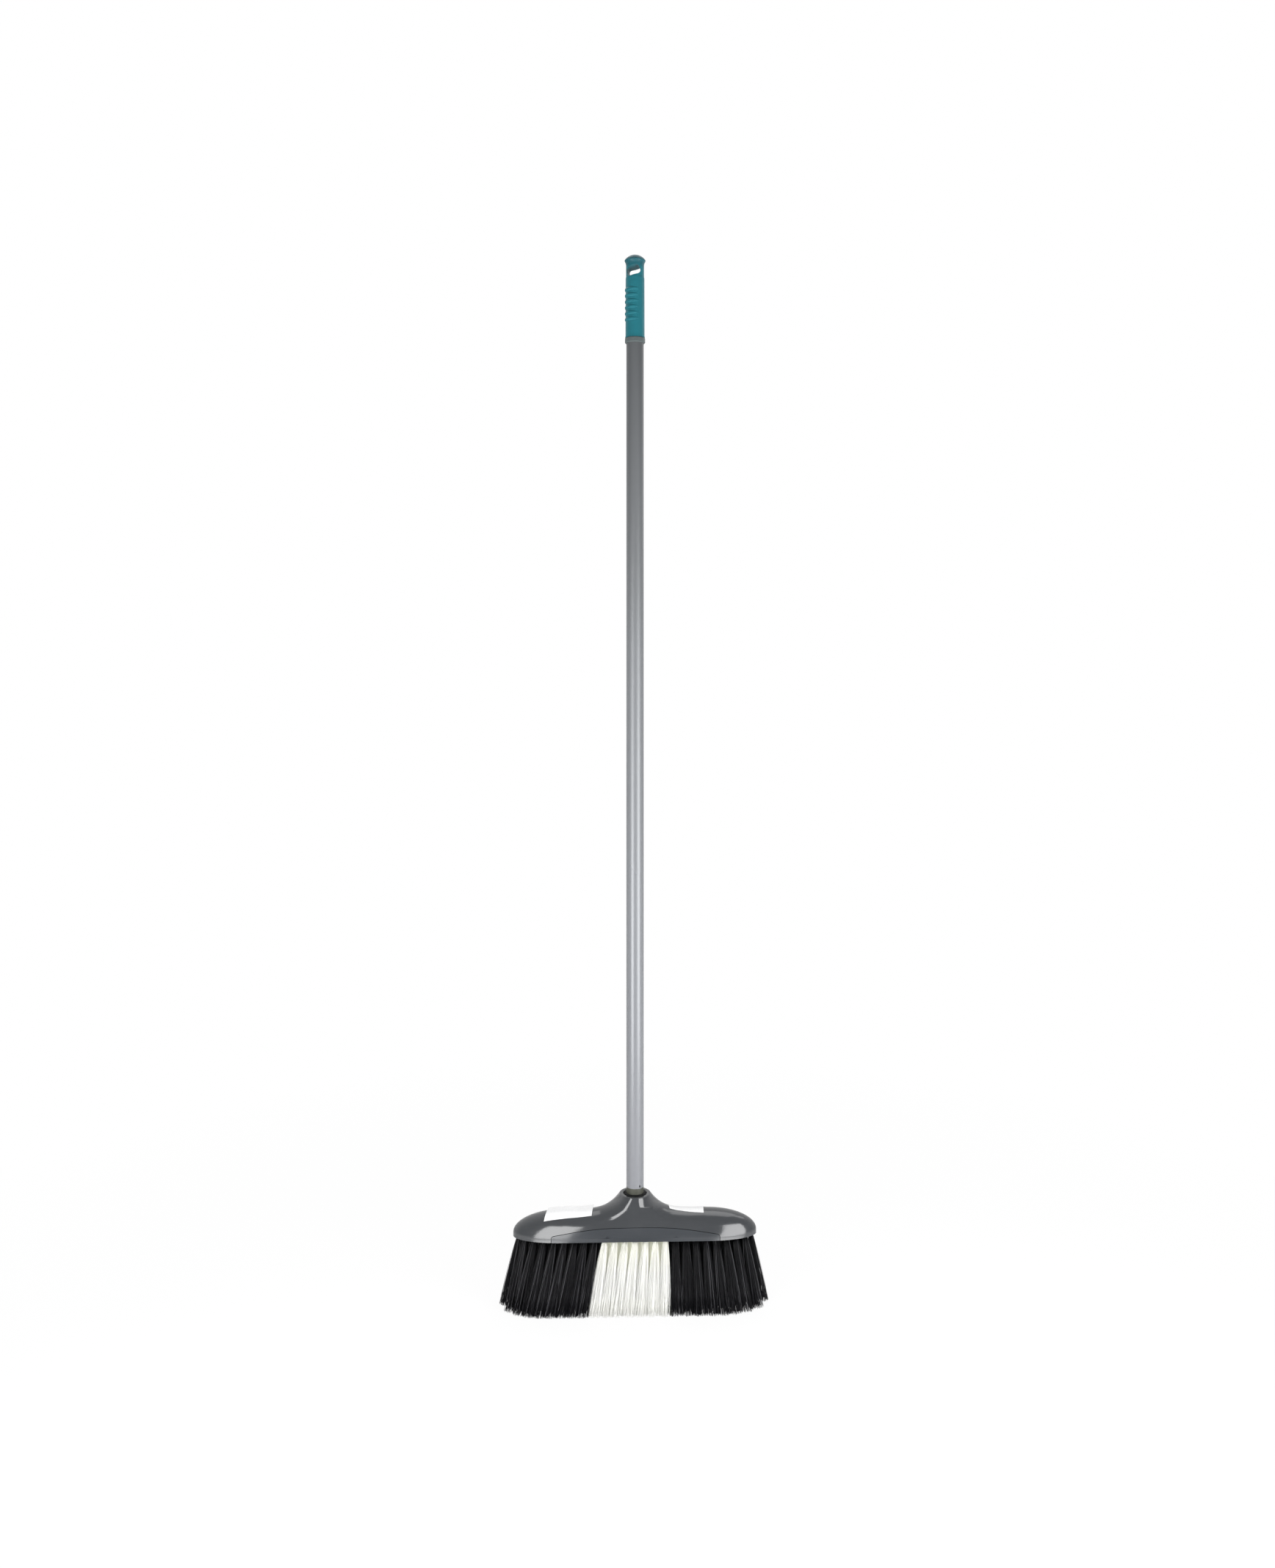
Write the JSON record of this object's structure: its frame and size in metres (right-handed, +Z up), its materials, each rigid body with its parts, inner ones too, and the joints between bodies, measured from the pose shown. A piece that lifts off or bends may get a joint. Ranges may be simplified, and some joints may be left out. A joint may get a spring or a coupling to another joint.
{
  "type": "broom",
  "caption": "Upright floor broom with a half-round tufted head, flared screw socket, splayed bristles and a straight tube handle with a ribbed hanging grip.",
  "frame": {"origin": "on the floor under the middle of the bristle tips, below the handle's axis", "axes": "+Z up along the handle, X along the head, -Y towards the front that the picture shows"},
  "size_m": [0.3402, 0.0888, 1.322],
  "materials": {
    "cover_plastic": "gloss moulded",
    "base_plastic": "satin moulded",
    "staple_wire": "drawn wire",
    "dark_bristle": "drawn filament",
    "white_bristle": "drawn filament",
    "washer_rubber": "matt",
    "ferrule_plastic": "satin moulded",
    "tube_coating": "silver grey coated steel",
    "grip_plastic": "satin moulded",
    "ring_plastic": "satin moulded"
  },
  "bodies": {
    "head": {"head_cover": "cover_plastic", "bristle_base": "base_plastic", "tuft_staples": "staple_wire", "bristles_left_outer": "dark_bristle", "bristles_left_inner": "dark_bristle", "bristles_left_middle": "dark_bristle", "bristles_centre_front_outer": "white_bristle", "bristles_centre_front_inner": "white_bristle", "bristles_centre_middle": "white_bristle", "bristles_centre_rear_inner": "white_bristle", "bristles_centre_rear_outer": "white_bristle", "bristles_right_outer": "dark_bristle", "bristles_right_inner": "dark_bristle", "bristles_right_middle": "dark_bristle"},
    "washer": {"friction_washer": "washer_rubber"},
    "handle": {"thread_ferrule": "ferrule_plastic", "handle_tube": "tube_coating", "grip": "grip_plastic", "grip_ring": "ring_plastic"}
  },
  "joints": [
    {"name": "handle_rise", "type": "slide", "parent": "head", "child": "washer", "axis": [0, 0, 1], "range_m": [0, 0.0275]},
    {"name": "handle_turn", "type": "hinge", "parent": "washer", "child": "handle", "pos_m": [0, 0, 0.1357], "axis": [0, 0, 1], "range_deg": [0, 1981]}
  ],
  "couplings": [
    {"joint": "handle_turn", "follows": "handle_rise", "rad_per_m": 1256.6}
  ]
}
